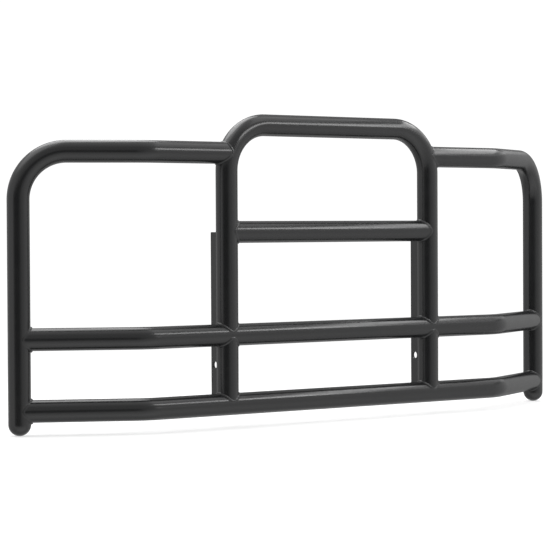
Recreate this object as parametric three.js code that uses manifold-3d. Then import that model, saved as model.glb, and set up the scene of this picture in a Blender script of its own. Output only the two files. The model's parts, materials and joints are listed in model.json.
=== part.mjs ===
/**
 * Tubular grille guard for the front of a heavy truck.
 *
 * Millimetres, +Z up. The front faces -Y, and X = 0 is the plane of symmetry.
 * While the pieces are made, Y = 0 holds the axes of the centre hoop's legs and
 * heights start at the lower rail's axis. At the end the whole guard is stood on
 * its lowest point, centred over the origin.
 *
 * Two rails run the full width and turn back at the wings. A hoop stands on the
 * upper one, two short uprights fill the space below it, and a wing tube on each
 * side leaves the hoop, turns down at the corner and ends in a domed cap. A flat
 * plate with a pin hole is welded behind each centre upright.
 */
import * as THREE from 'three';
import { mergeVertices } from 'three/addons/utils/BufferGeometryUtils.js';
import Module from 'manifold-3d';

const wasm = await Module();
wasm.setup();

// Tube stock and the one bend radius that every corner uses.
const TUBE_RADIUS = 76.2 / 2;
const TUBE_WALL = 3;
const BEND_RADIUS = 161;

// Layout in plan: distances from the plane of symmetry, and how far back the wings reach.
const CENTRE_HALF_SPAN = 453.4;
const WING_BEND_HALF_SPAN = 785;
const OUTER_HALF_SPAN = 1165;
const WING_SETBACK = 195;

// Heights above the lower rail's axis.
const MID_RAIL_HEIGHT = 239.4;
const CROSSBAR_HEIGHT = 594.4;
const WING_HEIGHT = 866.8;
const HOOP_HEIGHT = 965.8;
const CAP_DROP = 43;

// Mounting plates: upright flat bars behind the centre uprights.
const PLATE_THICKNESS = 9.5;
const PLATE_REAR = 91.5;
const PLATE_LENGTH = 594.4;
const PLATE_CORNER_RADIUS = 4;
const PIN_HOLE_RADIUS = 12.7;
const PIN_HOLE_SETBACK = 70.7;
const PIN_HOLE_HEIGHT = 133.1;

// Weld metal. Where two equal tubes are tangent, the seam keeps a little off the crossing.
const BEAD_RADIUS = 5;
const SEAM_LIFT = 12;
const FILLET_LEG = 7;
const FILLET_SPREAD = 1.5;
const FILLET_START = 14;
const FILLET_END = 575;

// Clearance between neighbouring solids.
const GAP = 0.3;

// How finely round shapes are divided.
const TUBE_SIDES = 24;
const BEND_STEP = THREE.MathUtils.degToRad(11.25);
const CAP_RINGS = 5;
const BEAD_STEPS = 20;
const BEAD_SIDES = 6;
const HOLE_SIDES = 24;

const RIGHT = new THREE.Vector3(1, 0, 0);
const BACK = new THREE.Vector3(0, 1, 0);
const UP = new THREE.Vector3(0, 0, 1);
const SIDES = { left: -1, right: 1 };

const COAT = { color: 0x1b1c1e, roughness: 0.38, metalness: 0.0 };

/** One bend: the arc that rounds a corner between two straight runs. */
class Bend {
  constructor(before, corner, after) {
    this.arriving = corner.clone().sub(before).normalize();
    const leaving = after.clone().sub(corner).normalize();
    this.angle = this.arriving.angleTo(leaving);
    this.axis = this.arriving.clone().cross(leaving).normalize();
    this.inward = this.axis.clone().cross(this.arriving);
    const setback = BEND_RADIUS * Math.tan(this.angle / 2);
    this.centre = corner
      .clone()
      .addScaledVector(this.arriving, -setback)
      .addScaledVector(this.inward, BEND_RADIUS);
  }

  pointAt(turned) {
    return this.centre
      .clone()
      .addScaledVector(this.inward, -BEND_RADIUS * Math.cos(turned))
      .addScaledVector(this.arriving, BEND_RADIUS * Math.sin(turned));
  }

  tangentAt(turned) {
    return this.arriving
      .clone()
      .multiplyScalar(Math.cos(turned))
      .addScaledVector(this.inward, Math.sin(turned));
  }

  /** Distance from a point to the arc, or infinity beside its ends. */
  distanceTo(point) {
    const offset = point.clone().sub(this.centre);
    const height = offset.dot(this.axis);
    offset.addScaledVector(this.axis, -height);
    const turned = Math.atan2(offset.dot(this.arriving), -offset.dot(this.inward));
    if (turned < 0 || turned > this.angle) {
      return Infinity;
    }
    return Math.hypot(offset.length() - BEND_RADIUS, height);
  }
}

/** Axis of a tube: straight runs joined by bends, with a station wherever its section changes direction. */
class TubeAxis extends THREE.Curve {
  constructor(corners, firstNormal) {
    super();
    this.firstNormal = firstNormal;
    this.straights = [];
    this.bends = [];
    this.stations = [];
    let start = corners[0];
    for (let i = 1; i < corners.length - 1; i += 1) {
      const bend = new Bend(corners[i - 1], corners[i], corners[i + 1]);
      this.addStraight(start, bend.pointAt(0));
      this.addBend(bend);
      start = bend.pointAt(bend.angle);
    }
    this.addStraight(start, corners[corners.length - 1]);
  }

  addStraight(start, end) {
    const tangent = end.clone().sub(start).normalize();
    this.straights.push(new THREE.Line3(start, end));
    this.stations.push({ point: start, tangent }, { point: end, tangent });
  }

  addBend(bend) {
    this.bends.push(bend);
    const steps = Math.ceil(bend.angle / BEND_STEP);
    for (let i = 1; i < steps; i += 1) {
      const turned = (bend.angle * i) / steps;
      this.stations.push({ point: bend.pointAt(turned), tangent: bend.tangentAt(turned) });
    }
  }

  getSpacedPoints() {
    return this.stations.map((station) => station.point);
  }

  /** Frames carried from station to station without twist. */
  computeFrenetFrames() {
    const tangents = this.stations.map((station) => station.tangent);
    const normals = [this.firstNormal.clone()];
    for (let i = 1; i < tangents.length; i += 1) {
      const turn = new THREE.Quaternion().setFromUnitVectors(tangents[i - 1], tangents[i]);
      normals.push(normals[i - 1].clone().applyQuaternion(turn));
    }
    const binormals = normals.map((normal, i) => tangents[i].clone().cross(normal));
    return { tangents, normals, binormals };
  }

  distanceTo(point) {
    const onStraights = this.straights.map((line) =>
      line.closestPointToPoint(point, true, new THREE.Vector3()).distanceTo(point),
    );
    const onBends = this.bends.map((bend) => bend.distanceTo(point));
    return Math.min(...onStraights, ...onBends);
  }
}

/** Closed line of a weld round the coped end of a branch tube, on the branch's own surface. */
class SaddleSeam extends THREE.Curve {
  constructor(meeting, away, run) {
    super();
    this.meeting = meeting;
    this.away = away;
    this.run = run;
    this.across = away.z === 0 ? UP : RIGHT;
    this.along = away.clone().cross(this.across);
  }

  getPoint(t, target = new THREE.Vector3()) {
    const angle = 2 * Math.PI * t;
    target
      .copy(this.meeting)
      .addScaledVector(this.across, TUBE_RADIUS * Math.cos(angle))
      .addScaledVector(this.along, TUBE_RADIUS * Math.sin(angle));
    const reach = Math.hypot(this.reachOutOfRun(target), SEAM_LIFT);
    return target.addScaledVector(this.away, reach);
  }

  /** How far along the branch a line on its surface comes out of the run tube. */
  reachOutOfRun(start) {
    let inside = 0;
    let outside = 2 * TUBE_RADIUS;
    while (outside - inside > 1e-6) {
      const middle = (inside + outside) / 2;
      const probe = start.clone().addScaledVector(this.away, middle);
      if (this.run.distanceTo(probe) < TUBE_RADIUS) {
        inside = middle;
      } else {
        outside = middle;
      }
    }
    return inside;
  }
}

// ---- Solids ----

function solidOf(geometry) {
  geometry.deleteAttribute('normal');
  geometry.deleteAttribute('uv');
  const merged = mergeVertices(geometry, 1e-3);
  return new wasm.Manifold(
    new wasm.Mesh({
      numProp: 3,
      vertProperties: merged.attributes.position.array,
      triVerts: new Uint32Array(merged.index.array),
    }),
  );
}

function meshOf(name, solid) {
  const { numProp, vertProperties, triVerts } = solid.getMesh();
  const geometry = new THREE.BufferGeometry();
  geometry.setAttribute('position', new THREE.BufferAttribute(vertProperties, numProp));
  geometry.setIndex(new THREE.BufferAttribute(triVerts, 1));
  geometry.computeVertexNormals();
  const mesh = new THREE.Mesh(geometry, new THREE.MeshStandardMaterial(COAT));
  mesh.name = name;
  return mesh;
}

function circlePoints(radius) {
  const points = [];
  for (let i = 0; i < TUBE_SIDES; i += 1) {
    const angle = (2 * Math.PI * i) / TUBE_SIDES;
    points.push(new THREE.Vector2(radius * Math.cos(angle), radius * Math.sin(angle)));
  }
  return points;
}

function sweep(section, axis) {
  const steps = axis.stations.length - 1;
  return solidOf(new THREE.ExtrudeGeometry(section, { extrudePath: axis, steps, bevelEnabled: false }));
}

function tube(axis) {
  const section = new THREE.Shape(circlePoints(TUBE_RADIUS));
  section.holes.push(new THREE.Path(circlePoints(TUBE_RADIUS - TUBE_WALL)));
  return sweep(section, axis);
}

/** The space that a tube fills, with the clearance that its neighbours keep. */
function clearanceRound(axis) {
  return sweep(new THREE.Shape(circlePoints(TUBE_RADIUS + GAP)), axis);
}

function cut(solid, ...cutters) {
  return cutters.reduce((rest, cutter) => rest.subtract(cutter), solid);
}

// ---- Tube axes ----

const atCentre = (side, height) => new THREE.Vector3(side * CENTRE_HALF_SPAN, 0, height);
const atWingBend = (side, height) => new THREE.Vector3(side * WING_BEND_HALF_SPAN, 0, height);
const atOuter = (side, height) => new THREE.Vector3(side * OUTER_HALF_SPAN, WING_SETBACK, height);

/** Where a wing tube's axis meets the hoop's, part of the way round the hoop's bend. */
function atHoop(side) {
  const rise = WING_HEIGHT - (HOOP_HEIGHT - BEND_RADIUS);
  const reach = CENTRE_HALF_SPAN - BEND_RADIUS + Math.sqrt(BEND_RADIUS ** 2 - rise ** 2);
  return new THREE.Vector3(side * reach, 0, WING_HEIGHT);
}

/** Level direction of the wing on one side, from its bend to the outer upright. */
function wingDirection(side) {
  return atOuter(side, 0).sub(atWingBend(side, 0)).normalize();
}

function uprightAxis(side) {
  return new TubeAxis([atCentre(side, 0), atCentre(side, MID_RAIL_HEIGHT)], BACK);
}

function crossbarAxis() {
  return new TubeAxis([atCentre(SIDES.left, CROSSBAR_HEIGHT), atCentre(SIDES.right, CROSSBAR_HEIGHT)], UP);
}

function railAxis(height) {
  const corners = [
    atOuter(SIDES.left, height),
    atWingBend(SIDES.left, height),
    atWingBend(SIDES.right, height),
    atOuter(SIDES.right, height),
  ];
  return new TubeAxis(corners, UP);
}

function hoopAxis() {
  const corners = [
    atCentre(SIDES.left, MID_RAIL_HEIGHT),
    atCentre(SIDES.left, HOOP_HEIGHT),
    atCentre(SIDES.right, HOOP_HEIGHT),
    atCentre(SIDES.right, MID_RAIL_HEIGHT),
  ];
  return new TubeAxis(corners, BACK);
}

function wingAxis(side) {
  const corners = [
    atOuter(side, GAP - CAP_DROP),
    atOuter(side, WING_HEIGHT),
    atWingBend(side, WING_HEIGHT),
    atHoop(side),
  ];
  return new TubeAxis(corners, wingDirection(side).cross(UP));
}

const AXES = {
  lowerRail: railAxis(0),
  midRail: railAxis(MID_RAIL_HEIGHT),
  hoop: hoopAxis(),
  crossbar: crossbarAxis(),
  wing: { left: wingAxis(SIDES.left), right: wingAxis(SIDES.right) },
  upright: { left: uprightAxis(SIDES.left), right: uprightAxis(SIDES.right) },
};

// ---- Pieces ----

/** Hollow hemisphere that closes the foot of an outer upright. */
function endCap(side) {
  const profile = [];
  for (let i = 0; i <= CAP_RINGS; i += 1) {
    const angle = (Math.PI / 2) * (i / CAP_RINGS);
    profile.push(new THREE.Vector2(Math.sin(angle), -Math.cos(angle)).multiplyScalar(TUBE_RADIUS));
  }
  for (let i = CAP_RINGS; i >= 0; i -= 1) {
    const angle = (Math.PI / 2) * (i / CAP_RINGS);
    const inner = new THREE.Vector2(Math.sin(angle), -Math.cos(angle));
    profile.push(inner.multiplyScalar(TUBE_RADIUS - TUBE_WALL));
  }
  const geometry = new THREE.LatheGeometry(profile, TUBE_SIDES);
  geometry.rotateX(Math.PI / 2);
  geometry.translate(...atOuter(side, -CAP_DROP));
  return solidOf(geometry);
}

/** Turns an outline drawn in Y and Z, extruded along X, into its place behind an upright. */
function standBehindUpright(geometry, side) {
  geometry.applyMatrix4(new THREE.Matrix4().makeBasis(BACK, UP, RIGHT));
  geometry.translate(side * CENTRE_HALF_SPAN, 0, 0);
  return solidOf(geometry);
}

function mountingPlate(side) {
  const front = TUBE_RADIUS + GAP;
  const inset = PLATE_CORNER_RADIUS;
  const outline = new THREE.Shape();
  outline.moveTo(front, PLATE_LENGTH);
  outline.lineTo(front, 0);
  outline.absarc(PLATE_REAR - inset, inset, inset, -Math.PI / 2, 0);
  outline.absarc(PLATE_REAR - inset, PLATE_LENGTH - inset, inset, 0, Math.PI / 2);
  const hole = [];
  for (let i = 0; i < HOLE_SIDES; i += 1) {
    const angle = (2 * Math.PI * i) / HOLE_SIDES;
    const spoke = new THREE.Vector2(Math.cos(angle), Math.sin(angle)).multiplyScalar(PIN_HOLE_RADIUS);
    hole.push(spoke.add(new THREE.Vector2(PIN_HOLE_SETBACK, PIN_HOLE_HEIGHT)));
  }
  outline.holes.push(new THREE.Path(hole));
  const options = { depth: PLATE_THICKNESS, bevelEnabled: false, curveSegments: 3 };
  const geometry = new THREE.ExtrudeGeometry(outline, options);
  geometry.translate(0, 0, -PLATE_THICKNESS / 2);
  return standBehindUpright(geometry, side);
}

/** The space that a plate and its two fillet welds fill, with their clearance. */
function clearanceRoundPlate(side) {
  const depth = PLATE_THICKNESS + 2 * GAP;
  const plate = new THREE.BoxGeometry(depth, PLATE_REAR, PLATE_LENGTH + 2 * GAP);
  plate.translate(side * CENTRE_HALF_SPAN, PLATE_REAR / 2, PLATE_LENGTH / 2);
  return solidOf(plate).add(filletWeld(side, 1, GAP)).add(filletWeld(side, -1, GAP));
}

/**
 * Straight fillet of weld metal in the corner between a plate's face and the tube in front of it.
 * Its legs grow three times as far as its flat sides, which moves the sloping face out by the growth.
 */
function filletWeld(side, face, growth) {
  const start = PLATE_THICKNESS / 2 + GAP - growth;
  const leg = FILLET_LEG + 3 * growth;
  const root = TUBE_RADIUS - leg;
  const section = new THREE.Shape();
  section.moveTo(face * start, root);
  section.lineTo(face * (start + FILLET_SPREAD * leg), root);
  section.lineTo(face * start, TUBE_RADIUS + leg);
  const geometry = new THREE.ExtrudeGeometry(section, {
    depth: FILLET_END - FILLET_START + 2 * growth,
    bevelEnabled: false,
  });
  geometry.translate(side * CENTRE_HALF_SPAN, 0, FILLET_START - growth);
  return solidOf(geometry);
}

/** Bead round the coped end of a branch tube, outside both tubes. */
function saddleWeld(meeting, away, run, ...neighbours) {
  const seam = new SaddleSeam(meeting, away, run);
  const bead = solidOf(new THREE.TubeGeometry(seam, BEAD_STEPS, BEAD_RADIUS, BEAD_SIDES, true));
  return cut(bead, ...neighbours);
}

// ---- Assembly ----

const CLEARANCES = {
  lowerRail: clearanceRound(AXES.lowerRail),
  midRail: clearanceRound(AXES.midRail),
  hoop: clearanceRound(AXES.hoop),
  crossbar: clearanceRound(AXES.crossbar),
};

const guard = new THREE.Group();
guard.name = 'grille_guard';

function addPiece(name, solid) {
  guard.add(meshOf(name, solid));
}

function addSide(word) {
  const side = SIDES[word];
  const outward = RIGHT.clone().multiplyScalar(side);
  const inboard = wingDirection(side).negate();
  const wing = clearanceRound(AXES.wing[word]);
  const upright = clearanceRound(AXES.upright[word]);
  const plate = clearanceRoundPlate(side);
  const { lowerRail, midRail, hoop, crossbar } = CLEARANCES;

  addPiece(`lower_upright_${word}`, cut(tube(AXES.upright[word]), lowerRail, midRail));
  addPiece(`wing_tube_${word}`, cut(tube(AXES.wing[word]), hoop));
  addPiece(`end_cap_${word}`, endCap(side));
  addPiece(`mounting_plate_${word}`, mountingPlate(side));

  const welds = {
    upright_foot: [atCentre(side, 0), UP, AXES.lowerRail, lowerRail, upright, plate],
    upright_top: [atCentre(side, MID_RAIL_HEIGHT), UP.clone().negate(), AXES.midRail, midRail, upright, plate],
    hoop_foot: [atCentre(side, MID_RAIL_HEIGHT), UP, AXES.midRail, midRail, hoop, plate],
    crossbar: [atCentre(side, CROSSBAR_HEIGHT), outward.clone().negate(), AXES.hoop, hoop, crossbar, plate],
    wing_top: [atHoop(side), outward, AXES.hoop, hoop, wing],
    mid_rail: [atOuter(side, MID_RAIL_HEIGHT), inboard, AXES.wing[word], wing, midRail],
    lower_rail: [atOuter(side, 0), inboard, AXES.wing[word], wing, lowerRail],
  };
  for (const [place, seam] of Object.entries(welds)) {
    addPiece(`weld_${place}_${word}`, saddleWeld(...seam));
  }
  const faces = { outer: side, inner: -side };
  for (const [place, face] of Object.entries(faces)) {
    addPiece(`weld_plate_${place}_${word}`, cut(filletWeld(side, face, 0), hoop, upright, lowerRail, midRail));
  }
}

const wings = Object.values(AXES.wing).map(clearanceRound);
addPiece('lower_rail', cut(tube(AXES.lowerRail), ...wings));
addPiece('mid_rail', cut(tube(AXES.midRail), ...wings));
addPiece('centre_hoop', cut(tube(AXES.hoop), CLEARANCES.midRail));
addPiece('crossbar', cut(tube(AXES.crossbar), CLEARANCES.hoop));
Object.keys(SIDES).forEach(addSide);

const bounds = new THREE.Box3().setFromObject(guard);
const middle = bounds.getCenter(new THREE.Vector3());
guard.position.set(-middle.x, -middle.y, -bounds.min.z);
guard.updateMatrixWorld(true);

export default guard;
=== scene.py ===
"""A tubular grille guard in black powder coat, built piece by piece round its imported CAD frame.

Every tube, domed cap, plate and weld bead is its own mesh and stands for the CAD node of the
same name. Lengths are in metres. The front of the guard faces -Y.
"""
import json
import math

import bmesh
import bpy
import numpy as np
from mathutils import Matrix, Vector


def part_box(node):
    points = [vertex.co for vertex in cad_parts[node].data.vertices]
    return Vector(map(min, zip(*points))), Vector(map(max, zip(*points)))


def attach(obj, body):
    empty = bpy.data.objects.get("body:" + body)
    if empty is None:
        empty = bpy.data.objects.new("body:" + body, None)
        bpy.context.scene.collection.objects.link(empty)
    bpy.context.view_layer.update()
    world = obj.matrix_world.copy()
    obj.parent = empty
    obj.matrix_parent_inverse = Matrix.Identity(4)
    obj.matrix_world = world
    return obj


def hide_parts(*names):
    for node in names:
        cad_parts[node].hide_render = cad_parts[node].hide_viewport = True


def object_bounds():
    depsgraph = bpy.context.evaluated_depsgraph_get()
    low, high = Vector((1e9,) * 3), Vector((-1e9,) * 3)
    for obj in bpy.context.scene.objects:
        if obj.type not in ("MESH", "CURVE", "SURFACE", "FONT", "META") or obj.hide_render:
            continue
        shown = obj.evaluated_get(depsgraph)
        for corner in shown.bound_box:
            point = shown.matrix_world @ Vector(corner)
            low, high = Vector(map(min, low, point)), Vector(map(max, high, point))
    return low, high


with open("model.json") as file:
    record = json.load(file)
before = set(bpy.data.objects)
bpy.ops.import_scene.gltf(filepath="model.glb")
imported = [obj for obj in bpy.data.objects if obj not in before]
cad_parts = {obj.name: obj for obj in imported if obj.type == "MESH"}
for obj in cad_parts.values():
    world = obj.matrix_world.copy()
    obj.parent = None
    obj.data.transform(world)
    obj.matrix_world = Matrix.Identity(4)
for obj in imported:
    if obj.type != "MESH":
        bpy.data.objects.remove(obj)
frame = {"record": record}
cad_low, cad_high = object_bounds()

# Tube stock, and the one bend radius that every corner uses.
TUBE_RADIUS = 0.0381
TUBE_WALL = 0.003
BEND_RADIUS = 0.161
WING_BEND_HALF_SPAN = 0.785

# How finely round shapes are divided, and the angles over which an edge is kept crisp.
TUBE_SIDES = 96
BEND_STEP = math.radians(2)
CAP_RINGS = 24
HOLE_SIDES = 72
CORNER_STEPS = 6
EDGE_STEPS = 3
TUBE_CREASE = 40
WELD_CREASE = 60
PLATE_CREASE = 22
MERGE_DISTANCE = 1e-7

# Coped tube ends stop just short of the tube they meet, under the weld bead.
COPE_BACKSET = 0.003
COPE_GAP = 0.0003
COPE_HALVINGS = 30

# Weld metal. Where two equal tubes are tangent, the seam keeps a little off the crossing.
SEAM_LIFT = 0.0105
SEAM_STEPS = 720
BEAD_HALF_WIDTH = 0.0051
BEAD_CROWN = 0.0018
BEAD_SINK = 0.0003
BEAD_PROFILE_STEPS = 9
RIPPLE_PITCH = 0.0027
RIPPLE_HEIGHT = 0.00024
RIPPLE_BOW = 0.55
RIPPLE_RISE = 0.7

# Unevenness of a hand-laid bead: each share is how far a value wanders, each count its waves.
CROWN_SHARE = 0.16
CROWN_WAVES = 23
DRIFT_SHARE = 0.5
DRIFT_WAVES = 11
WIDTH_SHARE = 0.1
SADDLE_WIDTH_WAVES = 17
FILLET_WIDTH_WAVES = 31
WELD_SEED = 7

# Edges and fillets of the mounting plates.
PLATE_CORNER_RADIUS = 0.004
PLATE_EDGE_BREAK = 0.0008
FILLET_LEG = 0.006
FILLET_CROWN = 0.0008
FILLET_MARGIN = 0.014
FILLET_STEPS = 900
FILLET_TAPER = 0.008
FILLET_TIP = 0.02

# Powder coat. A scale is in features per metre, and a swing goes either way.
COAT_IOR = 1.46
BLOTCH_SCALE = 9
BLOTCH_DETAIL = 5
GLOSS_SCALE = 24
GLOSS_DETAIL = 4
GLOSS_SWING = 0.03
PEEL_SCALE = 380
PEEL_DETAIL = 2
NOISE_LOW = 0.3
NOISE_HIGH = 0.7

# Camera, in metres and degrees: turned from +Y, tilted down and rolled about its own axis.
CAMERA_PLACE = (-4.8511, -6.3073, 0.6860)
CAMERA_TURN = -36.538
CAMERA_TILT = 1.2001
CAMERA_ROLL = -0.2976
CAMERA_LENS = 144.5
CAMERA_SENSOR = 36

# Floor and backdrop.
BACKDROP_BRIGHTNESS = 1.06
WHITE = (1, 1, 1, 1)
FLOOR_COLOUR = (0.93, 0.93, 0.93, 1)
FLOOR_DROP = 0.0005
FLOOR_RADIUS = 4
FLOOR_FADE_START = 1.6
FLOOR_GLOW = 0.5
FLOOR_SIDES = 96

# The room that the coat reflects, and its darker and brighter patches: azimuth and elevation
# of the patch, the angles at which it starts and stops fading, and its share of the brightness.
ROOM_BRIGHTNESS = 1.1
ROOM_PATCHES = (
    (-68, -1, 2, 18, 0.33),
    (-55, -1, 2, 18, 0.33),
    (-42, -1, 2, 18, 0.33),
    (-29, -1, 2, 18, 0.33),
    (-15, -1, 2, 18, 0.68),
    (-22, 12, 5, 68, 0.6),
    (160, -35, 30, 105, 0.56),
    (143, 0, 8, 50, 0.42),
    (122, 46, 4, 27, 0.55),
    (-6, -42, 12, 52, 1.36),
    (138, -36, 8, 28, 1.4),
    (-122, 60, 14, 34, 2.4),
    (68, 38, 3, 22, 0.55),
    (25, 13, 2, 10, 2.2),
)

# Lamps: place, the point faced, width, height and radiance.
SOFTBOXES = {
    "front_strip": ((0.88, -1.7, 1.7), (0.88, 0, 0.6), 1.95, 0.34, 6.8),
    "key_strip": ((1.88, -0.95, 2.2), (0.3, -0.95, 0.6), 2.7, 0.5, 4.9),
    "key_fringe": ((2.7, -0.95, 2.05), (0.3, -0.95, 0.6), 2.6, 0.7, 0.8),
    "overhead": ((0.6, -0.6, 2.4), (0.6, -0.6, 0), 1.3, 1.5, 0.8),
    "ceiling": ((0, 0, 5), (0, 0, 0), 7, 7, 0.14),
    "rear_box": ((-0.45, 0.93, 2.4), (-0.3, 0, 0.9), 1.7, 1.35, 3),
    "right_box": ((6.2, 1.6, 3.25), (0.9, 0, 1), 2.9, 0.8, 0.6),
}

SIDES = {"left": -1, "right": 1}
RIGHT = Vector((1, 0, 0))
BACK = Vector((0, 1, 0))
UP = Vector((0, 0, 1))


# ---- Layout, read from the frame ----


def middle(node):
    low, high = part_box(node)
    return (low + high) / 2


def crest(node):
    """Height of the axis of a level tube that is the highest part of its node."""
    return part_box(node)[1].z - TUBE_RADIUS


CENTRE_HALF_SPAN = middle("lower_upright_right").x
CENTRE_PLANE = middle("lower_upright_right").y
OUTER_HALF_SPAN = middle("end_cap_right").x
OUTER_PLANE = middle("end_cap_right").y
LOWER_RAIL_HEIGHT = middle("lower_rail").z
MID_RAIL_HEIGHT = middle("mid_rail").z
CROSSBAR_HEIGHT = middle("crossbar").z
WING_HEIGHT = crest("wing_tube_right")
HOOP_HEIGHT = crest("centre_hoop")
CAP_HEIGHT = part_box("end_cap_right")[1].z
PIN_HOLE = next(m for m in frame["record"]["mounts"] if m["name"] == "frame_bracket_pins")


def at_centre(side, height):
    return Vector((side * CENTRE_HALF_SPAN, CENTRE_PLANE, height))


def at_wing_bend(side, height):
    return Vector((side * WING_BEND_HALF_SPAN, CENTRE_PLANE, height))


def at_outer(side, height):
    return Vector((side * OUTER_HALF_SPAN, OUTER_PLANE, height))


def at_hoop(side):
    """Where a wing tube's axis meets the hoop's, part of the way round the hoop's bend."""
    rise = WING_HEIGHT - (HOOP_HEIGHT - BEND_RADIUS)
    reach = CENTRE_HALF_SPAN - BEND_RADIUS + math.sqrt(BEND_RADIUS**2 - rise**2)
    return Vector((side * reach, CENTRE_PLANE, WING_HEIGHT))


def wing_direction(side):
    """Level direction of the wing on one side, from its bend to the outer upright."""
    return (at_outer(side, 0) - at_wing_bend(side, 0)).normalized()


# ---- Axes ----


class Straight:
    def __init__(self, start, end):
        self.start = start
        self.tangent = (end - start).normalized()
        self.length = (end - start).length

    def nearest(self, points):
        along = (points - np.array(self.start)) @ np.array(self.tangent)
        along = np.clip(along, 0, self.length)
        return np.array(self.start) + along[:, None] * np.array(self.tangent)


class Bend:
    """The arc that rounds a corner between two straight runs."""

    def __init__(self, before, corner, after):
        self.arriving = (corner - before).normalized()
        leaving = (after - corner).normalized()
        self.angle = self.arriving.angle(leaving)
        self.inward = self.arriving.cross(leaving).normalized().cross(self.arriving)
        setback = BEND_RADIUS * math.tan(self.angle / 2)
        self.centre = corner - setback * self.arriving + BEND_RADIUS * self.inward

    def point(self, turned):
        spoke = math.sin(turned) * self.arriving - math.cos(turned) * self.inward
        return self.centre + BEND_RADIUS * spoke

    def tangent(self, turned):
        return math.cos(turned) * self.arriving + math.sin(turned) * self.inward

    def nearest(self, points):
        offset = points - np.array(self.centre)
        arriving = np.array(self.arriving)
        inward = np.array(self.inward)
        turned = np.clip(np.arctan2(offset @ arriving, -(offset @ inward)), 0, self.angle)
        spoke = np.outer(np.sin(turned), arriving) - np.outer(np.cos(turned), inward)
        return np.array(self.centre) + BEND_RADIUS * spoke


class TubeAxis:
    """Straight runs joined by bends, with a station wherever the section changes direction."""

    def __init__(self, corners, first_normal):
        self.parts = []
        self.stations = []
        start = corners[0]
        for before, corner, after in zip(corners, corners[1:], corners[2:]):
            bend = Bend(before, corner, after)
            self.add_straight(start, bend.point(0))
            self.add_bend(bend)
            start = bend.point(bend.angle)
        self.add_straight(start, corners[-1])
        self.frames = self.carried(first_normal)

    def add_straight(self, start, end):
        run = Straight(start, end)
        self.parts.append(run)
        self.stations += [(start, run.tangent), (end, run.tangent)]

    def add_bend(self, bend):
        self.parts.append(bend)
        steps = math.ceil(bend.angle / BEND_STEP)
        turns = [bend.angle * i / steps for i in range(1, steps)]
        self.stations += [(bend.point(turned), bend.tangent(turned)) for turned in turns]

    def carried(self, normal):
        """The two directions across the tube at each station, carried along without twist."""
        frames = []
        last = self.stations[0][1]
        for _, tangent in self.stations:
            normal = last.rotation_difference(tangent) @ normal
            frames.append((normal, tangent.cross(normal)))
            last = tangent
        return frames

    def nearest(self, points):
        """The nearest point of the axis to each of the points."""
        found = np.stack([part.nearest(points) for part in self.parts])
        gaps = np.linalg.norm(found - points, axis=2)
        return found[gaps.argmin(axis=0), np.arange(len(points))]

    def distance(self, points):
        return np.linalg.norm(points - self.nearest(points), axis=1)


def rail_axis(height):
    corners = [
        at_outer(-1, height),
        at_wing_bend(-1, height),
        at_wing_bend(1, height),
        at_outer(1, height),
    ]
    return TubeAxis(corners, UP)


def hoop_axis():
    corners = [
        at_centre(-1, MID_RAIL_HEIGHT),
        at_centre(-1, HOOP_HEIGHT),
        at_centre(1, HOOP_HEIGHT),
        at_centre(1, MID_RAIL_HEIGHT),
    ]
    return TubeAxis(corners, BACK)


def crossbar_axis():
    return TubeAxis([at_centre(-1, CROSSBAR_HEIGHT), at_centre(1, CROSSBAR_HEIGHT)], UP)


def upright_axis(side):
    return TubeAxis([at_centre(side, LOWER_RAIL_HEIGHT), at_centre(side, MID_RAIL_HEIGHT)], BACK)


def wing_axis(side):
    corners = [
        at_outer(side, CAP_HEIGHT),
        at_outer(side, WING_HEIGHT),
        at_wing_bend(side, WING_HEIGHT),
        at_hoop(side),
    ]
    return TubeAxis(corners, wing_direction(side).cross(UP))


# ---- Mesh making ----


def add_piece(name, points, faces, material, crease):
    """Adds a mesh piece, with its faces pointing out and edges over the crease angle crisp."""
    mesh = bpy.data.meshes.new(name)
    mesh.from_pydata(points, [], faces)
    work = bmesh.new()
    work.from_mesh(mesh)
    bmesh.ops.remove_doubles(work, verts=work.verts, dist=MERGE_DISTANCE)
    bmesh.ops.recalc_face_normals(work, faces=work.faces)
    work.to_mesh(mesh)
    work.free()
    mesh.shade_smooth()
    mesh.set_sharp_from_angle(angle=math.radians(crease))
    mesh.materials.append(material["look"])
    piece = bpy.data.objects.new(name + "_skin", mesh)
    bpy.context.scene.collection.objects.link(piece)
    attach(piece, "root")
    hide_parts(name)


def lattice(rows, columns, closed_rows, closed_columns):
    """Four-sided faces over a grid of points, wrapped round in either direction."""
    row = np.arange(rows if closed_rows else rows - 1)[:, None]
    column = np.arange(columns if closed_columns else columns - 1)[None, :]
    next_row = (row + 1) % rows
    next_column = (column + 1) % columns
    corners = [
        row * columns + column,
        row * columns + next_column,
        next_row * columns + next_column,
        next_row * columns + column,
    ]
    return np.stack(corners, axis=2).reshape(-1, 4).tolist()


def reach_out_of(run, base, away):
    """How far along a straight tube each line on its surface comes out of the tube it meets."""
    inside = np.zeros(len(base))
    outside = np.full(len(base), 2 * TUBE_RADIUS)
    for _ in range(COPE_HALVINGS):
        half = (inside + outside) / 2
        within = run.distance(base + half[:, None] * away) < TUBE_RADIUS
        inside = np.where(within, half, inside)
        outside = np.where(within, outside, half)
    return inside


# ---- Tubes ----


def section(point, across, radius):
    angles = np.linspace(0, 2 * math.pi, TUBE_SIDES, endpoint=False)
    first = np.outer(np.cos(angles), np.array(across[0]))
    second = np.outer(np.sin(angles), np.array(across[1]))
    return np.array(point) + radius * (first + second)


def coped(ring, meeting, away, run, radius):
    """Moves an end section back along the tube until it fits round the tube it meets."""
    inward = np.array(away)
    base = ring - np.outer((ring - np.array(meeting)) @ inward, inward)
    reach = reach_out_of(run, base, inward)
    if radius == TUBE_RADIUS:
        reach = np.hypot(reach, SEAM_LIFT) - COPE_BACKSET
    return base + (reach + COPE_GAP)[:, None] * inward


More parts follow.
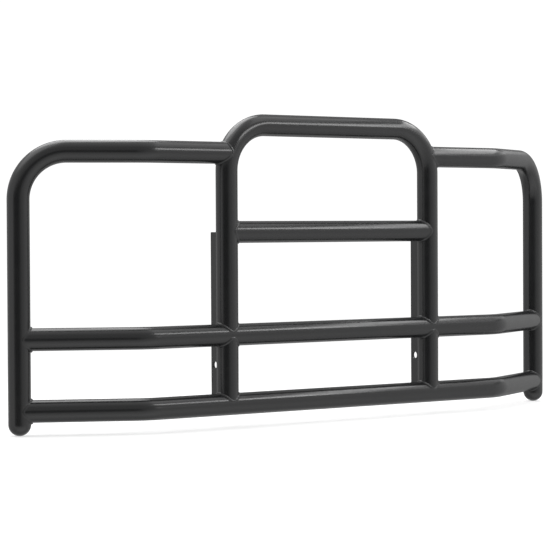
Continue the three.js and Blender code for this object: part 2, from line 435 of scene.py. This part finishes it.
def wall(axis, radius, start_run, end_run):
    rings = [section(s[0], across, radius) for s, across in zip(axis.stations, axis.frames)]
    if start_run:
        point, tangent = axis.stations[0]
        rings[0] = coped(rings[0], point, tangent, start_run, radius)
    if end_run:
        point, tangent = axis.stations[-1]
        rings[-1] = coped(rings[-1], point, -tangent, end_run, radius)
    return rings


def add_tube(name, axis, start_run=None, end_run=None):
    """A tube with its wall, each end cut square or coped round the tube that it meets."""
    outer = wall(axis, TUBE_RADIUS, start_run, end_run)
    inner = wall(axis, TUBE_RADIUS - TUBE_WALL, start_run, end_run)
    rings = outer + inner[::-1]
    faces = lattice(len(rings), TUBE_SIDES, closed_rows=True, closed_columns=True)
    add_piece(name, np.concatenate(rings), faces, MATERIALS["tube"], TUBE_CREASE)


def add_cap(name, side):
    """Hollow hemisphere that closes the foot of an outer upright."""
    rings = []
    for radius, order in ((TUBE_RADIUS, 1), (TUBE_RADIUS - TUBE_WALL, -1)):
        for i in range(CAP_RINGS + 1)[::order]:
            angle = math.pi / 2 * i / CAP_RINGS
            centre = at_outer(side, CAP_HEIGHT - radius * math.cos(angle))
            rings.append(section(centre, (RIGHT, BACK), radius * math.sin(angle)))
    faces = lattice(len(rings), TUBE_SIDES, closed_rows=False, closed_columns=True)
    add_piece(name, np.concatenate(rings), faces, MATERIALS["tube"], TUBE_CREASE)


# ---- Welds ----


def unit(vectors):
    return vectors / np.linalg.norm(vectors, axis=1)[:, None]


def turned_to(vectors, guide):
    """The vectors, each turned round if it points away from its guide."""
    return vectors * np.where((vectors * guide).sum(axis=1) < 0, -1, 1)[:, None]


def wander(count, waves, draws):
    """Slow uneven change along a seam, about zero and the same at both ends."""
    along = np.linspace(0, 2 * math.pi, count, endpoint=False)
    total = np.zeros(count)
    for wave in range(2, waves):
        size, phase = draws.random(2)
        total += size * np.sin(wave * along + 2 * math.pi * phase)
    return total / math.sqrt(waves)


def ripples(along, bow):
    """Height of the overlapping ripples of a hand-laid bead, steeper at each ripple's front."""
    turn = (along / RIPPLE_PITCH + RIPPLE_BOW * bow) % 1
    return np.where(turn < RIPPLE_RISE, turn / RIPPLE_RISE, (1 - turn) / (1 - RIPPLE_RISE)) - 0.5


def bead_rows(toe_a, toe_b, outward, crown, length_along, draws):
    """Sections of a bead: a crowned arc from one toe to the other, closed by a hidden root."""
    count = len(toe_a)
    swell = 1 + CROWN_SHARE * wander(count, CROWN_WAVES, draws)
    drift = DRIFT_SHARE * wander(count, DRIFT_WAVES, draws)
    columns = []
    for i in range(BEAD_PROFILE_STEPS):
        share = 2 * i / (BEAD_PROFILE_STEPS - 1) - 1
        arc = 1 - share**2
        lift = crown * arc * swell
        lift = lift + RIPPLE_HEIGHT * arc**0.5 * ripples(length_along, share**2 + drift)
        base = toe_a * (1 - share) / 2 + toe_b * (1 + share) / 2
        columns.append(base + lift[:, None] * outward)
    root = (toe_a + toe_b) / 2 - 2 * BEAD_CROWN * outward
    return np.stack(columns + [root], axis=1)


def add_saddle_weld(name, meeting, away, run, draws):
    """Bead round the coped end of a branch tube, with one toe on each tube."""
    across = UP if away.z == 0 else RIGHT
    angles = np.linspace(0, 2 * math.pi, SEAM_STEPS, endpoint=False)
    spokes = np.outer(np.cos(angles), np.array(across))
    spokes += np.outer(np.sin(angles), np.array(away.cross(across)))
    outwards = np.tile(np.array(away), (SEAM_STEPS, 1))
    base = np.array(meeting) + TUBE_RADIUS * spokes
    reach = np.hypot(reach_out_of(run, base, outwards[0]), SEAM_LIFT)
    seam = base + reach[:, None] * outwards
    steps = np.roll(seam, -1, axis=0) - np.roll(seam, 1, axis=0)
    tangents = unit(steps)
    along = np.cumsum(np.linalg.norm(steps, axis=1) / 2)
    along *= round(along[-1] / RIPPLE_PITCH) * RIPPLE_PITCH / along[-1]

    run_centres = run.nearest(seam)
    run_normals = unit(seam - run_centres)
    widening = 1 + WIDTH_SHARE * wander(SEAM_STEPS, SADDLE_WIDTH_WAVES, draws)
    half = BEAD_HALF_WIDTH * widening[:, None]
    on_branch = seam + half * turned_to(np.cross(spokes, tangents), outwards)
    branch_offset = on_branch - np.array(meeting)
    branch_axis = (branch_offset * outwards).sum(axis=1)[:, None] * outwards
    branch_toe = branch_axis + (TUBE_RADIUS - BEAD_SINK) * unit(branch_offset - branch_axis)
    on_run = run_centres + TUBE_RADIUS * run_normals
    on_run = on_run + half * turned_to(np.cross(tangents, run_normals), spokes - outwards)
    centres = run.nearest(on_run)
    run_toe = centres + (TUBE_RADIUS - BEAD_SINK) * unit(on_run - centres)

    outward = unit(spokes + run_normals)
    toe = branch_toe + np.array(meeting)
    rows = bead_rows(toe, run_toe, outward, BEAD_CROWN, along, draws)
    faces = lattice(SEAM_STEPS, rows.shape[1], closed_rows=True, closed_columns=True)
    add_piece(name, rows.reshape(-1, 3), faces, MATERIALS["weld"], WELD_CREASE)


def add_plate_weld(name, side, face, draws):
    """Straight fillet in the corner between a plate's face and the tube in front of it."""
    low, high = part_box("mounting_plate_" + ("left" if side < 0 else "right"))
    bottom = low.z + FILLET_MARGIN
    top = high.z - FILLET_MARGIN
    heights = np.linspace(bottom, top, FILLET_STEPS)
    from_end = np.minimum(heights - bottom, top - heights)
    growth = np.sqrt(np.clip(from_end / FILLET_TAPER, FILLET_TIP, 1))
    widening = 1 + WIDTH_SHARE * wander(FILLET_STEPS, FILLET_WIDTH_WAVES, draws)
    leg = FILLET_LEG * growth * widening
    plate_face = (high.x - low.x) / 2
    spread = plate_face + leg
    bite = TUBE_RADIUS - BEAD_SINK
    centre = np.array(at_centre(side, 0))

    def placed(out, back):
        offsets = np.stack([face * out, back, heights], axis=1)
        return centre + offsets

    on_plate = placed(np.full(FILLET_STEPS, plate_face - BEAD_SINK), TUBE_RADIUS + leg)
    on_tube = placed(spread, np.sqrt(bite**2 - spread**2))
    outward = np.tile(unit(np.array([[face, 1.0, 0.0]])), (FILLET_STEPS, 1))
    crown = FILLET_CROWN * growth
    rows = bead_rows(on_plate, on_tube, outward, crown, heights, draws)
    count = rows.shape[1]
    faces = lattice(FILLET_STEPS, count, closed_rows=False, closed_columns=True)
    faces.append(list(range(count)))
    faces.append(list(range((FILLET_STEPS - 1) * count, FILLET_STEPS * count)))
    add_piece(name, rows.reshape(-1, 3), faces, MATERIALS["weld"], WELD_CREASE)


# ---- Mounting plates ----


def plate_outline(low, high, inset):
    """Outline of a plate in Y and Z, from the lower front corner, with round rear corners."""
    front = low.y + inset
    rear = high.y - PLATE_CORNER_RADIUS
    radius = PLATE_CORNER_RADIUS - inset
    points = [(front, high.z - inset), (front, low.z + inset)]
    corners = ((low.z + PLATE_CORNER_RADIUS, -math.pi / 2), (high.z - PLATE_CORNER_RADIUS, 0))
    for height, start in corners:
        for i in range(CORNER_STEPS + 1):
            angle = start + math.pi / 2 * i / CORNER_STEPS
            points.append((rear + radius * math.cos(angle), height + radius * math.sin(angle)))
    return points


def pin_hole(growth):
    _, centre_y, centre_z = PIN_HOLE["pos_m"]
    radius = PIN_HOLE["dims"]["r_mm"] / 1000 + growth
    points = []
    for i in range(HOLE_SIDES):
        angle = 2 * math.pi * i / HOLE_SIDES
        points.append((centre_y + radius * math.cos(angle), centre_z + radius * math.sin(angle)))
    return points


def add_plate(name):
    """Flat bar with a pin hole. Its outer edges and the hole's are broken by a small round."""
    low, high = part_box(name)
    centre = (low.x + high.x) / 2
    half = (high.x - low.x) / 2
    turns = [math.pi / 2 * i / EDGE_STEPS for i in range(EDGE_STEPS + 1)]
    levels = [(1 - math.sin(t), half - PLATE_EDGE_BREAK * (1 - math.cos(t))) for t in turns[::-1]]
    levels += [(inset, -depth) for inset, depth in levels[::-1]]
    rims = []
    holes = []
    for inset, depth in levels:
        bevel = PLATE_EDGE_BREAK * inset
        rims.append([(centre + depth, y, z) for y, z in plate_outline(low, high, bevel)])
        holes.append([(centre + depth, y, z) for y, z in pin_hole(bevel)])
    work = bmesh.new()
    for loops in (rims, holes):
        rows = [[work.verts.new(point) for point in loop] for loop in loops]
        for row, following in zip(rows, rows[1:]):
            for i in range(len(row)):
                j = (i + 1) % len(row)
                work.faces.new((row[i], row[j], following[j], following[i]))
    for depth in (levels[0][1], levels[-1][1]):
        level = centre + depth
        outline = [
            edge
            for edge in work.edges
            if all(abs(vert.co.x - level) < MERGE_DISTANCE for vert in edge.verts)
        ]
        bmesh.ops.triangle_fill(work, edges=outline, use_beauty=True, use_dissolve=False)
    mesh = bpy.data.meshes.new(name)
    work.to_mesh(mesh)
    work.free()
    points = [v.co[:] for v in mesh.vertices]
    faces = [list(p.vertices) for p in mesh.polygons]
    bpy.data.meshes.remove(mesh)
    add_piece(name, points, faces, MATERIALS["plate"], PLATE_CREASE)


# ---- Materials ----


def powder_coat(name, base, roughness, peel, speck):
    """Satin black powder coat: fine orange peel, faint blotches of gloss and a hint of dust."""
    look = bpy.data.materials.new(name)
    look.use_nodes = True
    nodes = look.node_tree.nodes
    links = look.node_tree.links
    shader = nodes["Principled BSDF"]
    shader.inputs["IOR"].default_value = COAT_IOR
    shader.inputs["Metallic"].default_value = 0.0
    place = nodes.new("ShaderNodeTexCoord").outputs["Object"]

    def noise(scale, detail):
        node = nodes.new("ShaderNodeTexNoise")
        node.inputs["Scale"].default_value = scale
        node.inputs["Detail"].default_value = detail
        links.new(place, node.inputs["Vector"])
        return node.outputs["Fac"]

    def ranged(value, low, high):
        node = nodes.new("ShaderNodeMapRange")
        node.inputs["From Min"].default_value = NOISE_LOW
        node.inputs["From Max"].default_value = NOISE_HIGH
        node.inputs["To Min"].default_value = low
        node.inputs["To Max"].default_value = high
        links.new(value, node.inputs["Value"])
        return node.outputs["Result"]

    tint = nodes.new("ShaderNodeMix")
    tint.data_type = "RGBA"
    tint.inputs["A"].default_value = (*[c * (1 - speck) for c in base], 1)
    tint.inputs["B"].default_value = (*[c * (1 + speck) for c in base], 1)
    links.new(noise(BLOTCH_SCALE, BLOTCH_DETAIL), tint.inputs["Factor"])
    links.new(tint.outputs["Result"], shader.inputs["Base Color"])
    unevenness = noise(GLOSS_SCALE, GLOSS_DETAIL)
    gloss = ranged(unevenness, roughness - GLOSS_SWING, roughness + GLOSS_SWING)
    links.new(gloss, shader.inputs["Roughness"])

    bump = nodes.new("ShaderNodeBump")
    bump.inputs["Strength"].default_value = 1.0
    bump.inputs["Distance"].default_value = peel
    links.new(noise(PEEL_SCALE, PEEL_DETAIL), bump.inputs["Height"])
    links.new(bump.outputs["Normal"], shader.inputs["Normal"])
    return look


MATERIALS = {
    "tube": {
        "slot": "black_powder_coat",
        "look": powder_coat(
            "powder_coat_on_tube",
            base=(0.0068, 0.007, 0.0074),
            roughness=0.2,
            peel=0.000007,
            speck=0.14,
        ),
    },
    "plate": {
        "slot": "coated_plate",
        "look": powder_coat(
            "powder_coat_on_plate",
            base=(0.0075, 0.0077, 0.0081),
            roughness=0.24,
            peel=0.00001,
            speck=0.14,
        ),
    },
    "weld": {
        "slot": "coated_weld",
        "look": powder_coat(
            "powder_coat_on_weld",
            base=(0.0085, 0.0087, 0.0091),
            roughness=0.22,
            peel=0.00001,
            speck=0.16,
        ),
    },
}


# ---- The guard ----


def build_side(word, rails, draws):
    side = SIDES[word]
    outward = side * RIGHT
    inboard = -wing_direction(side)
    wing = wing_axis(side)
    add_tube(f"lower_upright_{word}", upright_axis(side), rails["lower"], rails["mid"])
    add_tube(f"wing_tube_{word}", wing, end_run=rails["hoop"])
    add_cap(f"end_cap_{word}", side)
    add_plate(f"mounting_plate_{word}")
    welds = {
        "upright_foot": (at_centre(side, LOWER_RAIL_HEIGHT), UP, rails["lower"]),
        "upright_top": (at_centre(side, MID_RAIL_HEIGHT), -UP, rails["mid"]),
        "hoop_foot": (at_centre(side, MID_RAIL_HEIGHT), UP, rails["mid"]),
        "crossbar": (at_centre(side, CROSSBAR_HEIGHT), -outward, rails["hoop"]),
        "wing_top": (at_hoop(side), outward, rails["hoop"]),
        "mid_rail": (at_outer(side, MID_RAIL_HEIGHT), inboard, wing),
        "lower_rail": (at_outer(side, LOWER_RAIL_HEIGHT), inboard, wing),
    }
    for place, (meeting, away, run) in welds.items():
        add_saddle_weld(f"weld_{place}_{word}", meeting, away, run, draws)
    for place, face in (("outer", side), ("inner", -side)):
        add_plate_weld(f"weld_plate_{place}_{word}", side, face, draws)


def build_guard():
    rails = {
        "lower": rail_axis(LOWER_RAIL_HEIGHT),
        "mid": rail_axis(MID_RAIL_HEIGHT),
        "hoop": hoop_axis(),
    }
    wings = {word: wing_axis(side) for word, side in SIDES.items()}
    add_tube("lower_rail", rails["lower"], wings["left"], wings["right"])
    add_tube("mid_rail", rails["mid"], wings["left"], wings["right"])
    add_tube("centre_hoop", rails["hoop"], rails["mid"], rails["mid"])
    add_tube("crossbar", crossbar_axis(), rails["hoop"], rails["hoop"])
    draws = np.random.default_rng(WELD_SEED)
    for word in SIDES:
        build_side(word, rails, draws)


# ---- Studio ----


def make_camera():
    data = bpy.data.cameras.new("camera")
    data.sensor_width = CAMERA_SENSOR
    data.lens = CAMERA_LENS
    camera = bpy.data.objects.new("camera", data)
    place = Matrix.Translation(CAMERA_PLACE)
    turn = Matrix.Rotation(math.radians(CAMERA_TURN), 4, "Z")
    lift = Matrix.Rotation(math.radians(90 - CAMERA_TILT), 4, "X")
    roll = Matrix.Rotation(math.radians(CAMERA_ROLL), 4, "Z")
    camera.matrix_world = place @ turn @ lift @ roll
    bpy.context.scene.collection.objects.link(camera)
    bpy.context.scene.camera = camera


def add_softbox(name, place, target, width, height, radiance):
    """A rectangular lamp whose long side lies level, as bright as a card of that radiance."""
    data = bpy.data.lights.new(name, "AREA")
    data.shape = "RECTANGLE"
    data.size = width
    data.size_y = height
    data.energy = radiance * math.pi * width * height
    lamp = bpy.data.objects.new(name, data)
    lamp.location = place
    aim = Vector(target) - Vector(place)
    lamp.rotation_mode = "QUATERNION"
    lamp.rotation_quaternion = aim.to_track_quat("-Z", "Y")
    bpy.context.scene.collection.objects.link(lamp)


def level_direction(azimuth, elevation):
    """A direction from the guard: azimuth 0 is straight ahead of it, and 90 is on its +X side."""
    around = math.radians(azimuth)
    above = math.radians(elevation)
    level = math.cos(above)
    return Vector((math.sin(around) * level, -math.cos(around) * level, math.sin(above)))


def add_patch(nodes, links, brightness, direction, inner, outer, share):
    """Scales the room's brightness by share near a direction, fading from inner to outer degrees."""
    towards = nodes.new("ShaderNodeVectorMath")
    towards.operation = "DOT_PRODUCT"
    towards.inputs[1].default_value = direction
    links.new(nodes["Texture Coordinate"].outputs["Generated"], towards.inputs[0])
    fade = nodes.new("ShaderNodeMapRange")
    fade.interpolation_type = "SMOOTHSTEP"
    fade.inputs["From Min"].default_value = math.cos(math.radians(outer))
    fade.inputs["From Max"].default_value = math.cos(math.radians(inner))
    fade.inputs["To Min"].default_value = 1
    fade.inputs["To Max"].default_value = share
    links.new(towards.outputs["Value"], fade.inputs["Value"])
    product = nodes.new("ShaderNodeMath")
    product.operation = "MULTIPLY"
    links.new(brightness, product.inputs[0])
    links.new(fade.outputs["Result"], product.inputs[1])
    return product.outputs["Value"]


def make_surroundings():
    """A plain white backdrop for the camera, and a patchy white room for everything else."""
    world = bpy.data.worlds.new("studio")
    bpy.context.scene.world = world
    world.use_nodes = True
    nodes = world.node_tree.nodes
    links = world.node_tree.links
    walls = nodes["Background"]
    walls.inputs["Color"].default_value = WHITE
    backdrop = nodes.new("ShaderNodeBackground")
    backdrop.inputs["Strength"].default_value = BACKDROP_BRIGHTNESS
    backdrop.inputs["Color"].default_value = WHITE
    nodes.new("ShaderNodeTexCoord")
    room = nodes.new("ShaderNodeValue").outputs["Value"]
    room.default_value = ROOM_BRIGHTNESS
    for azimuth, elevation, inner, outer, share in ROOM_PATCHES:
        direction = level_direction(azimuth, elevation)
        room = add_patch(nodes, links, room, direction, inner, outer, share)
    links.new(room, walls.inputs["Strength"])

    seen = nodes.new("ShaderNodeLightPath").outputs["Is Camera Ray"]
    mix = nodes.new("ShaderNodeMixShader")
    links.new(seen, mix.inputs["Fac"])
    links.new(walls.outputs["Background"], mix.inputs[1])
    links.new(backdrop.outputs["Background"], mix.inputs[2])
    links.new(mix.outputs["Shader"], nodes["World Output"].inputs["Surface"])


def make_floor():
    """A round pale floor whose outer part fades into the backdrop, so that no edge shows."""
    mesh = bpy.data.meshes.new("floor")
    turns = [2 * math.pi * i / FLOOR_SIDES for i in range(FLOOR_SIDES)]
    rim = [(FLOOR_RADIUS * math.cos(t), FLOOR_RADIUS * math.sin(t), 0) for t in turns]
    mesh.from_pydata(rim, [], [list(range(FLOOR_SIDES))])
    paint = bpy.data.materials.new("floor_paint")
    paint.use_nodes = True
    nodes = paint.node_tree.nodes
    links = paint.node_tree.links
    shader = nodes["Principled BSDF"]
    shader.inputs["Base Color"].default_value = FLOOR_COLOUR
    shader.inputs["Roughness"].default_value = 1.0
    shader.inputs["Specular IOR Level"].default_value = 0.0
    glow = nodes.new("ShaderNodeEmission")
    glow.inputs["Strength"].default_value = BACKDROP_BRIGHTNESS
    reach = nodes.new("ShaderNodeVectorMath")
    reach.operation = "LENGTH"
    links.new(nodes.new("ShaderNodeTexCoord").outputs["Object"], reach.inputs[0])
    fade = nodes.new("ShaderNodeMapRange")
    fade.interpolation_type = "SMOOTHSTEP"
    fade.inputs["From Min"].default_value = FLOOR_FADE_START
    fade.inputs["From Max"].default_value = FLOOR_RADIUS
    fade.inputs["To Min"].default_value = FLOOR_GLOW
    links.new(reach.outputs["Value"], fade.inputs["Value"])
    mix = nodes.new("ShaderNodeMixShader")
    links.new(fade.outputs["Result"], mix.inputs["Fac"])
    links.new(shader.outputs["BSDF"], mix.inputs[1])
    links.new(glow.outputs["Emission"], mix.inputs[2])
    links.new(mix.outputs["Shader"], nodes["Material Output"].inputs["Surface"])
    mesh.materials.append(paint)
    floor = bpy.data.objects.new("floor", mesh)
    floor.location.z = cad_low.z - FLOOR_DROP
    bpy.context.scene.collection.objects.link(floor)
    floor.visible_glossy = False


def make_studio():
    make_camera()
    make_surroundings()
    make_floor()
    for name, (place, target, width, height, radiance) in SOFTBOXES.items():
        add_softbox(name, place, target, width, height, radiance)
    bpy.context.scene.view_settings.view_transform = "Standard"


make_studio()
build_guard()
